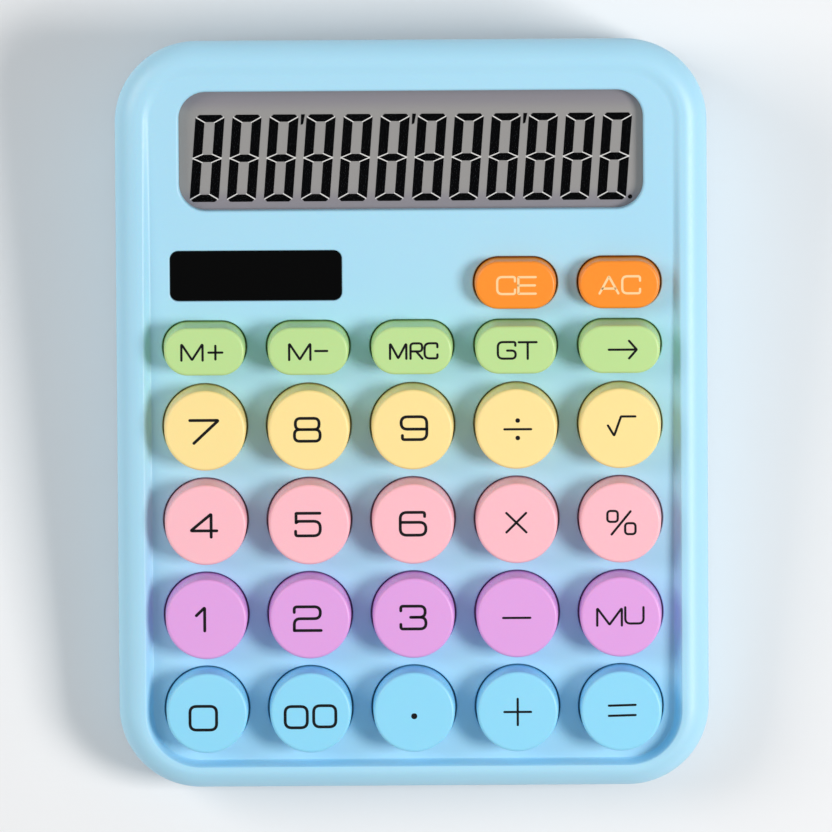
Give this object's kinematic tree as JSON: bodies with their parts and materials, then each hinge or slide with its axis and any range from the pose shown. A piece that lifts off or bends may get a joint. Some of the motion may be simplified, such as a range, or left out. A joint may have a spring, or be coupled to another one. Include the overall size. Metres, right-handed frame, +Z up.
{
  "type": "desk calculator",
  "caption": "Wedge-shaped desk calculator with a large segment display, a solar cell, sprung round and oval keys, and a sliding battery door.",
  "frame": {"origin": "centre of the footprint, on the plane that the feet rest on", "axes": "+X to the right, +Y from the keys towards the display, +Z up"},
  "size_m": [0.12, 0.152, 0.034],
  "materials": {
    "case_plastic": "satin moulded",
    "key_yellow": "satin moulded",
    "key_pink": "satin moulded",
    "key_purple": "satin moulded",
    "key_sky": "satin moulded",
    "key_green": "satin moulded",
    "key_orange": "satin moulded",
    "clear_window": "polished",
    "solar_cover": "polished",
    "lcd_glass": "polished polariser",
    "reflector_film": "metallised film",
    "white_plastic": "moulded",
    "flex_film": "polyimide film",
    "silicon": "amorphous silicon on glass",
    "board": "phenolic laminate",
    "black_epoxy": "cast epoxy",
    "capacitor_sleeve": "shrink sleeve",
    "resistor_body": "lacquered",
    "silicone": "moulded silicone",
    "cell_jacket": "printed foil",
    "nickel_steel": "nickel plated",
    "red_wire": "insulation",
    "black_wire": "insulation",
    "foot_rubber": "moulded"
  },
  "bodies": {
    "case": {"front_case": "case_plastic", "rear_case": "case_plastic", "display_window": "clear_window", "lcd_front_glass": "lcd_glass", "lcd_rear_glass": "lcd_glass", "lcd_reflector": "reflector_film", "lcd_holder": "white_plastic", "lcd_ribbon": "flex_film", "lcd_screws": "nickel_steel", "solar_window": "solar_cover", "solar_cell": "silicon", "solar_leads": "red_wire", "keypad_board": "board", "chip_blob": "black_epoxy", "capacitor": "capacitor_sleeve", "resistors": "resistor_body", "board_screws": "nickel_steel", "dome_mat": "silicone", "battery": "cell_jacket", "battery_spring": "nickel_steel", "battery_plate": "nickel_steel", "battery_leads": "black_wire", "case_screws": "nickel_steel", "rubber_feet": "foot_rubber"},
    "battery_door": {"battery_door": "case_plastic"},
    "key_7": {"key_7": "key_yellow"},
    "key_8": {"key_8": "key_yellow"},
    "key_9": {"key_9": "key_yellow"},
    "key_divide": {"key_divide": "key_yellow"},
    "key_root": {"key_root": "key_yellow"},
    "key_4": {"key_4": "key_pink"},
    "key_5": {"key_5": "key_pink"},
    "key_6": {"key_6": "key_pink"},
    "key_times": {"key_times": "key_pink"},
    "key_percent": {"key_percent": "key_pink"},
    "key_1": {"key_1": "key_purple"},
    "key_2": {"key_2": "key_purple"},
    "key_3": {"key_3": "key_purple"},
    "key_minus": {"key_minus": "key_purple"},
    "key_markup": {"key_markup": "key_purple"},
    "key_0": {"key_0": "key_sky"},
    "key_00": {"key_00": "key_sky"},
    "key_point": {"key_point": "key_sky"},
    "key_plus": {"key_plus": "key_sky"},
    "key_equals": {"key_equals": "key_sky"},
    "key_m_plus": {"key_m_plus": "key_green"},
    "key_m_minus": {"key_m_minus": "key_green"},
    "key_mrc": {"key_mrc": "key_green"},
    "key_gt": {"key_gt": "key_green"},
    "key_back": {"key_back": "key_green"},
    "key_ce": {"key_ce": "key_orange"},
    "key_ac": {"key_ac": "key_orange"}
  },
  "joints": [
    {"name": "battery_door_slide", "type": "slide", "parent": "case", "child": "battery_door", "axis": [0, 1, 0], "range_m": [0, 0.022]},
    {"name": "key_7_press", "type": "slide", "parent": "case", "child": "key_7", "axis": [0, 0.1532, -0.9882], "range_m": [0, 0.002], "stiffness_N_per_m": 350, "springref_m": -0.0012, "deforming": ["dome_mat"]},
    {"name": "key_8_press", "type": "slide", "parent": "case", "child": "key_8", "axis": [0, 0.1532, -0.9882], "range_m": [0, 0.002], "stiffness_N_per_m": 350, "springref_m": -0.0012, "deforming": ["dome_mat"]},
    {"name": "key_9_press", "type": "slide", "parent": "case", "child": "key_9", "axis": [0, 0.1532, -0.9882], "range_m": [0, 0.002], "stiffness_N_per_m": 350, "springref_m": -0.0012, "deforming": ["dome_mat"]},
    {"name": "key_divide_press", "type": "slide", "parent": "case", "child": "key_divide", "axis": [0, 0.1532, -0.9882], "range_m": [0, 0.002], "stiffness_N_per_m": 350, "springref_m": -0.0012, "deforming": ["dome_mat"]},
    {"name": "key_root_press", "type": "slide", "parent": "case", "child": "key_root", "axis": [0, 0.1532, -0.9882], "range_m": [0, 0.002], "stiffness_N_per_m": 350, "springref_m": -0.0012, "deforming": ["dome_mat"]},
    {"name": "key_4_press", "type": "slide", "parent": "case", "child": "key_4", "axis": [0, 0.1532, -0.9882], "range_m": [0, 0.002], "stiffness_N_per_m": 350, "springref_m": -0.0012, "deforming": ["dome_mat"]},
    {"name": "key_5_press", "type": "slide", "parent": "case", "child": "key_5", "axis": [0, 0.1532, -0.9882], "range_m": [0, 0.002], "stiffness_N_per_m": 350, "springref_m": -0.0012, "deforming": ["dome_mat"]},
    {"name": "key_6_press", "type": "slide", "parent": "case", "child": "key_6", "axis": [0, 0.1532, -0.9882], "range_m": [0, 0.002], "stiffness_N_per_m": 350, "springref_m": -0.0012, "deforming": ["dome_mat"]},
    {"name": "key_times_press", "type": "slide", "parent": "case", "child": "key_times", "axis": [0, 0.1532, -0.9882], "range_m": [0, 0.002], "stiffness_N_per_m": 350, "springref_m": -0.0012, "deforming": ["dome_mat"]},
    {"name": "key_percent_press", "type": "slide", "parent": "case", "child": "key_percent", "axis": [0, 0.1532, -0.9882], "range_m": [0, 0.002], "stiffness_N_per_m": 350, "springref_m": -0.0012, "deforming": ["dome_mat"]},
    {"name": "key_1_press", "type": "slide", "parent": "case", "child": "key_1", "axis": [0, 0.1532, -0.9882], "range_m": [0, 0.002], "stiffness_N_per_m": 350, "springref_m": -0.0012, "deforming": ["dome_mat"]},
    {"name": "key_2_press", "type": "slide", "parent": "case", "child": "key_2", "axis": [0, 0.1532, -0.9882], "range_m": [0, 0.002], "stiffness_N_per_m": 350, "springref_m": -0.0012, "deforming": ["dome_mat"]},
    {"name": "key_3_press", "type": "slide", "parent": "case", "child": "key_3", "axis": [0, 0.1532, -0.9882], "range_m": [0, 0.002], "stiffness_N_per_m": 350, "springref_m": -0.0012, "deforming": ["dome_mat"]},
    {"name": "key_minus_press", "type": "slide", "parent": "case", "child": "key_minus", "axis": [0, 0.1532, -0.9882], "range_m": [0, 0.002], "stiffness_N_per_m": 350, "springref_m": -0.0012, "deforming": ["dome_mat"]},
    {"name": "key_markup_press", "type": "slide", "parent": "case", "child": "key_markup", "axis": [0, 0.1532, -0.9882], "range_m": [0, 0.002], "stiffness_N_per_m": 350, "springref_m": -0.0012, "deforming": ["dome_mat"]},
    {"name": "key_0_press", "type": "slide", "parent": "case", "child": "key_0", "axis": [0, 0.1532, -0.9882], "range_m": [0, 0.002], "stiffness_N_per_m": 350, "springref_m": -0.0012, "deforming": ["dome_mat"]},
    {"name": "key_00_press", "type": "slide", "parent": "case", "child": "key_00", "axis": [0, 0.1532, -0.9882], "range_m": [0, 0.002], "stiffness_N_per_m": 350, "springref_m": -0.0012, "deforming": ["dome_mat"]},
    {"name": "key_point_press", "type": "slide", "parent": "case", "child": "key_point", "axis": [0, 0.1532, -0.9882], "range_m": [0, 0.002], "stiffness_N_per_m": 350, "springref_m": -0.0012, "deforming": ["dome_mat"]},
    {"name": "key_plus_press", "type": "slide", "parent": "case", "child": "key_plus", "axis": [0, 0.1532, -0.9882], "range_m": [0, 0.002], "stiffness_N_per_m": 350, "springref_m": -0.0012, "deforming": ["dome_mat"]},
    {"name": "key_equals_press", "type": "slide", "parent": "case", "child": "key_equals", "axis": [0, 0.1532, -0.9882], "range_m": [0, 0.002], "stiffness_N_per_m": 350, "springref_m": -0.0012, "deforming": ["dome_mat"]},
    {"name": "key_m_plus_press", "type": "slide", "parent": "case", "child": "key_m_plus", "axis": [0, 0.1532, -0.9882], "range_m": [0, 0.002], "stiffness_N_per_m": 350, "springref_m": -0.0012, "deforming": ["dome_mat"]},
    {"name": "key_m_minus_press", "type": "slide", "parent": "case", "child": "key_m_minus", "axis": [0, 0.1532, -0.9882], "range_m": [0, 0.002], "stiffness_N_per_m": 350, "springref_m": -0.0012, "deforming": ["dome_mat"]},
    {"name": "key_mrc_press", "type": "slide", "parent": "case", "child": "key_mrc", "axis": [0, 0.1532, -0.9882], "range_m": [0, 0.002], "stiffness_N_per_m": 350, "springref_m": -0.0012, "deforming": ["dome_mat"]},
    {"name": "key_gt_press", "type": "slide", "parent": "case", "child": "key_gt", "axis": [0, 0.1532, -0.9882], "range_m": [0, 0.002], "stiffness_N_per_m": 350, "springref_m": -0.0012, "deforming": ["dome_mat"]},
    {"name": "key_back_press", "type": "slide", "parent": "case", "child": "key_back", "axis": [0, 0.1532, -0.9882], "range_m": [0, 0.002], "stiffness_N_per_m": 350, "springref_m": -0.0012, "deforming": ["dome_mat"]},
    {"name": "key_ce_press", "type": "slide", "parent": "case", "child": "key_ce", "axis": [0, 0.1532, -0.9882], "range_m": [0, 0.002], "stiffness_N_per_m": 350, "springref_m": -0.0012, "deforming": ["dome_mat"]},
    {"name": "key_ac_press", "type": "slide", "parent": "case", "child": "key_ac", "axis": [0, 0.1532, -0.9882], "range_m": [0, 0.002], "stiffness_N_per_m": 350, "springref_m": -0.0012, "deforming": ["dome_mat"]}
  ]
}
